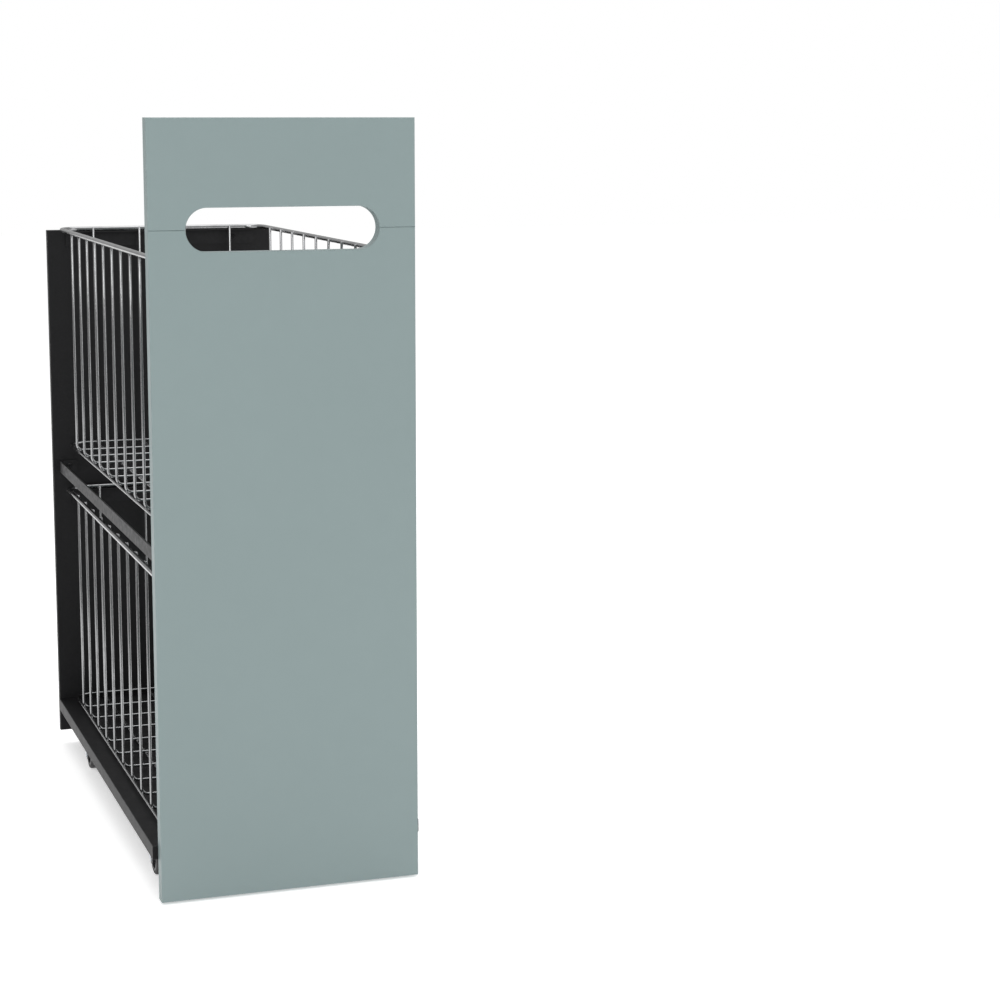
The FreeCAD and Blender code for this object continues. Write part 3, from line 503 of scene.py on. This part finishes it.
def draw_cross_wires(basket, material):
    mesh = bmesh.new()
    x, z, top = basket.cross_x, basket.cross_z, basket.top
    for y in basket.cross_ys:
        hairpin(mesh, (-x, y, top), (-x, y, z), (x, y, z), (x, y, top))
    basket.add("cross_wire_set", mesh, material, "cross_wires")


def draw_long_wires(basket, material):
    mesh = bmesh.new()
    (front, rear), z, top = basket.long_ys, basket.long_z, basket.top
    for x in basket.long_xs:
        hairpin(mesh, (x, front, top), (x, front, z), (x, rear, z), (x, rear, top))
    basket.add("long_wire_set", mesh, material, "long_wires")


def draw_bottom_ring(basket, material):
    """The level wire that runs round outside the lower bends."""
    mesh = bmesh.new()
    level_loop(mesh, basket.ring_x, basket.ring_ys, basket.ring_z, RING_CORNER, WIRE_RADIUS, WIRE_SIDES)
    basket.add("bottom_ring_wire", mesh, material, "bottom_ring")


def ring_weld(mesh, bend, ring_point, along):
    """The bead on a wire's bend, given by its centre, where the bottom ring touches it."""
    out = (ring_point - bend).normalized()
    weld_bead(mesh, bend + out * (WIRE_BEND + WIRE_RADIUS), along, out.cross(along), RING_WELD)


def draw_welds(basket, material):
    """Beads at the bottom ring, where wires cross on the floor, and inside the rim."""
    mesh = bmesh.new()
    for side in (-1, 1):
        for y in basket.cross_ys:
            bend = Vector((side * (basket.cross_x - WIRE_BEND), y, basket.cross_z + WIRE_BEND))
            ring_weld(mesh, bend, Vector((side * basket.ring_x, y, basket.ring_z)), Y_WAY)
    for x in basket.long_xs:
        for y_leg, y_ring, inward in zip(basket.long_ys, basket.ring_ys, (1, -1)):
            bend = Vector((x, y_leg + inward * WIRE_BEND, basket.long_z + WIRE_BEND))
            ring_weld(mesh, bend, Vector((x, y_ring, basket.ring_z)), X_WAY)
    crossing_z = (basket.cross_z + basket.long_z) / 2
    for x in basket.long_xs:
        for y in basket.cross_ys:
            weld_bead(mesh, Vector((x, y, crossing_z)), X_WAY, Y_WAY, CROSSING_WELD)
    inside_rim_x = basket.rim_x - RIM_RADIUS
    for y in basket.cross_ys:
        for side in (-1, 1):
            weld_bead(mesh, Vector((side * inside_rim_x, y, basket.rim_z)), Z_WAY, Y_WAY, RIM_WELD)
    for x in basket.long_xs:
        for y_rim, inward in zip(basket.rim_ys, (1, -1)):
            place = Vector((x, y_rim + inward * RIM_RADIUS, basket.rim_z))
            weld_bead(mesh, place, Z_WAY, X_WAY, RIM_WELD)
    basket.add("basket_welds", mesh, material)


def build_baskets():
    rim = plated_wire("plated_rim_wire", (700.0, 700.0, 700.0))
    cross = plated_wire("plated_cross_wire", (900.0, 2600.0, 90.0))
    long = plated_wire("plated_long_wire", (2600.0, 900.0, 90.0))
    ring = plated_wire("plated_ring_wire", (1200.0, 1200.0, 1200.0))
    weld = plated_wire("plated_weld", (1800.0, 1800.0, 1800.0))
    for which in ("upper", "lower"):
        basket = Basket(which)
        draw_rim(basket, rim)
        draw_cross_wires(basket, cross)
        draw_long_wires(basket, long)
        draw_bottom_ring(basket, ring)
        draw_welds(basket, weld)


# ---- wheels ----------------------------------------------------------------------------------


def lathe(mesh, profile, centre, steps):
    """Turns a closed profile of (along X, radius) points about the X line through a centre."""
    rings = []
    for step in range(steps):
        angle = 2 * math.pi * step / steps
        out = Vector((0, math.cos(angle), math.sin(angle)))
        rings.append([mesh.verts.new(centre + X_WAY * x + out * radius) for x, radius in profile])
    count = len(profile)
    for first, second in zip(rings, rings[1:] + rings[:1]):
        for number in range(count):
            after = (number + 1) % count
            mesh.faces.new((first[number], first[after], second[after], second[number]))


def tyre_profile(half, seat, tread):
    """Rounded shoulders, and three fine rings moulded in the tread."""
    quarter = [math.pi / 2 * step / SHOULDER_STEPS for step in range(SHOULDER_STEPS + 1)]
    shoulder = [
        (half - TYRE_SHOULDER * (1 - math.cos(angle)), tread - TYRE_SHOULDER * (1 - math.sin(angle)))
        for angle in quarter
    ]
    points = [(-half, seat)] + [(-x, radius) for x, radius in shoulder]
    for middle in GROOVE_PLACES:
        points += [(middle + offset, tread - GROOVE_DEPTH * share) for offset, share in GROOVE_OUTLINE]
    return points + list(reversed(shoulder)) + [(half, seat)]


def add_rib(mesh, centre, angle, face, half):
    """One rib of the hub, from the boss to the rim, standing on one face of the web."""
    out = Vector((0, math.cos(angle), math.sin(angle)))
    sideways = Vector((0, -math.sin(angle), math.cos(angle)))
    base, tip = face * (HUB_WEB - RIB_SINK), face * (half - RIB_STEP_IN)
    section = [
        (base, -RIB_HALF_AT_ROOT),
        (tip, -RIB_HALF_AT_TIP),
        (tip, RIB_HALF_AT_TIP),
        (base, RIB_HALF_AT_ROOT),
    ]
    ends = []
    for radius in (HUB_BOSS - RIB_BURY, HUB_RIM_INSIDE + RIB_BURY):
        middle = centre + out * radius
        ends.append([mesh.verts.new(middle + X_WAY * x + sideways * aside) for x, aside in section])
    inner, outer = ends
    for number in range(len(section)):
        after = (number + 1) % len(section)
        mesh.faces.new((inner[number], inner[after], outer[after], outer[number]))
    mesh.faces.new(inner)
    mesh.faces.new(list(reversed(outer)))


def build_wheel(corner, tyre_material, hub_material):
    """A grooved tyre in place of the plain one, and ribs on the hub."""
    low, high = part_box(f"{corner}_wheel_tyre")
    centre = (low + high) / 2
    half, tread = (high.x - low.x) / 2, (high.z - low.z) / 2
    body = f"{corner}_wheel"
    tyre = bmesh.new()
    lathe(tyre, tyre_profile(half, TYRE_SEAT, tread), centre, LATHE_STEPS)
    finished(f"{corner}_tyre", tyre, tyre_material, body, [f"{corner}_wheel_tyre"])

    ribs = bmesh.new()
    for number in range(RIB_COUNT):
        for face in (-1, 1):
            add_rib(ribs, centre, 2 * math.pi * (number + 0.5) / RIB_COUNT, face, half)
    piece = finished(f"{corner}_hub_ribs", ribs, hub_material, body, flat=True)
    bevel = piece.modifiers.new("soft_edges", "BEVEL")
    bevel.width, bevel.segments = RIB_BEVEL, 2
    dress(f"{corner}_wheel_hub", hub_material)


def build_wheels():
    tyre_material, hub_material = rubber("tyre_rubber"), nylon("hub_nylon")
    for end in ("front", "rear"):
        for side in ("left", "right"):
            build_wheel(f"{end}_{side}", tyre_material, hub_material)


# ---- studio ----------------------------------------------------------------------------------

SKY_OVERHEAD, SKY_AT_HORIZON = 1.05, 0.45
SKY_FADE_FROM, SKY_FADE_TO = -0.1, 0.9
FLOOR_GLOW = 0.48
FLOOR_REACH = 14.0


def build_floor():
    """A plain pale floor, lightly mottled, with a glow of its own that keeps it near white."""
    data = bpy.data.meshes.new("studio_floor")
    corners = [(x * FLOOR_REACH, y * FLOOR_REACH, 0) for x, y in ((-1, -1), (1, -1), (1, 1), (-1, 1))]
    data.from_pydata(corners, [], [(0, 1, 2, 3)])
    s = Shader("floor_white")
    shade = s.blend(s.span(s.noise(2.0), 0.3, 0.7), (0.86, 0.86, 0.86), (0.88, 0.88, 0.88))
    data.materials.append(s.finish(Base_Color=shade, Roughness=0.9, Emission_Color=shade,
                                   Emission_Strength=FLOOR_GLOW))
    floor = bpy.data.objects.new("studio_floor", data)
    bpy.context.scene.collection.objects.link(floor)


def area_light(name, place, target, size, power):
    """A soft light as wide and high as its size, in metres, turned to its target, in watts."""
    data = bpy.data.lights.new(name, "AREA")
    data.shape = "RECTANGLE"
    data.size, data.size_y = size
    data.energy = power
    light = bpy.data.objects.new(name, data)
    light.location = place
    light.rotation_euler = (Vector(target) - Vector(place)).to_track_quat("-Z", "Y").to_euler()
    bpy.context.scene.collection.objects.link(light)


def build_world():
    """White to the camera, and to everything else a sky that darkens towards the horizon and below."""
    world = bpy.data.worlds.new("studio")
    world.use_nodes = True
    tree = world.node_tree
    backdrop = tree.nodes["Background"]
    backdrop.inputs["Color"].default_value = (1.0, 1.0, 1.0, 1.0)
    sky = tree.nodes.new("ShaderNodeBackground")
    direction = tree.nodes.new("ShaderNodeTexCoord")
    split = tree.nodes.new("ShaderNodeSeparateXYZ")
    height = tree.nodes.new("ShaderNodeMapRange")
    fade = (SKY_FADE_FROM, SKY_FADE_TO, SKY_AT_HORIZON, SKY_OVERHEAD)
    for socket, number in zip(height.inputs[1:5], fade):
        socket.default_value = number
    paths = tree.nodes.new("ShaderNodeLightPath")
    choice = tree.nodes.new("ShaderNodeMixShader")
    for source, socket in (
        (direction.outputs["Generated"], split.inputs[0]),
        (split.outputs["Z"], height.inputs[0]),
        (height.outputs[0], sky.inputs["Strength"]),
        (paths.outputs["Is Camera Ray"], choice.inputs[0]),
        (sky.outputs[0], choice.inputs[1]),
        (backdrop.outputs[0], choice.inputs[2]),
        (choice.outputs[0], tree.nodes["World Output"].inputs["Surface"]),
    ):
        tree.links.new(source, socket)
    bpy.context.scene.world = world


def build_studio():
    bpy.context.scene.view_settings.view_transform = "Standard"
    build_world()
    build_floor()
    area_light("key", (-1.6, -3.2, 2.6), (0, 0, 0.45), (2.4, 2.0), 60)
    area_light("fill", (2.6, -2.2, 1.6), (0, 0, 0.4), (2.0, 2.0), 20)
    area_light("top", (0.2, 0.6, 3.2), (0, 0, 0.3), (2.5, 2.5), 40)


# Metres, degrees, and the lens and sensor in millimetres
CAMERA_PLACE = (-0.6021, -2.7862, 0.8705)
CAMERA_DOWN = 8.378
CAMERA_TURN = -19.0155
CAMERA_LENS = 82.49
CAMERA_SENSOR = 36.0
CAMERA_SHIFT = (0.01075, -0.0485)


def build_camera():
    data = bpy.data.cameras.new("camera")
    data.lens = CAMERA_LENS
    data.sensor_width = CAMERA_SENSOR
    data.shift_x, data.shift_y = CAMERA_SHIFT
    camera = bpy.data.objects.new("camera", data)
    camera.location = CAMERA_PLACE
    camera.rotation_euler = (math.radians(90 - CAMERA_DOWN), 0, math.radians(CAMERA_TURN))
    bpy.context.scene.collection.objects.link(camera)
    bpy.context.scene.camera = camera


dress_frame()
build_baskets()
build_wheels()
build_studio()
build_camera()

bpy.context.view_layer.update()
